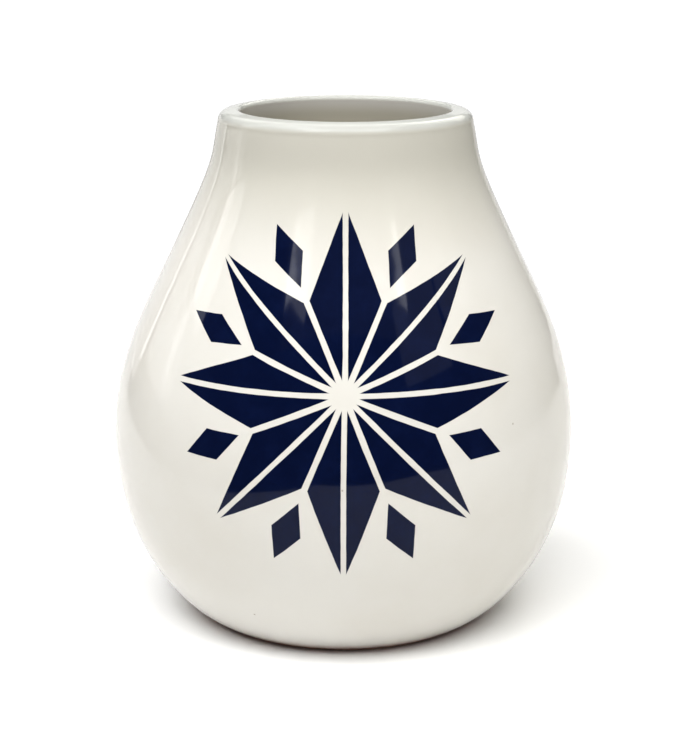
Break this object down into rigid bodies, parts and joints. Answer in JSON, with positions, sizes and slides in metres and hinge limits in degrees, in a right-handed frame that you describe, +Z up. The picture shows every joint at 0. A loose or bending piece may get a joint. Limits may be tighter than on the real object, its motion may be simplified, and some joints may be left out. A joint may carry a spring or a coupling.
{
  "type": "ceramic mate cup",
  "caption": "Pear-shaped mate cup of glazed ceramic, with a full round belly, a short neck, a soft rounded lip and a flat unglazed foot.",
  "frame": {"origin": "centre of the foot, on the surface that the cup stands on", "axes": "+Z up along the cup's axis, -Y towards the printed front, +X to the right seen from the front"},
  "size_m": [0.1004, 0.1004, 0.11],
  "materials": {
    "glaze": "glossy"
  },
  "bodies": {
    "root": {"gourd_cup": "glaze"}
  },
  "joints": []
}
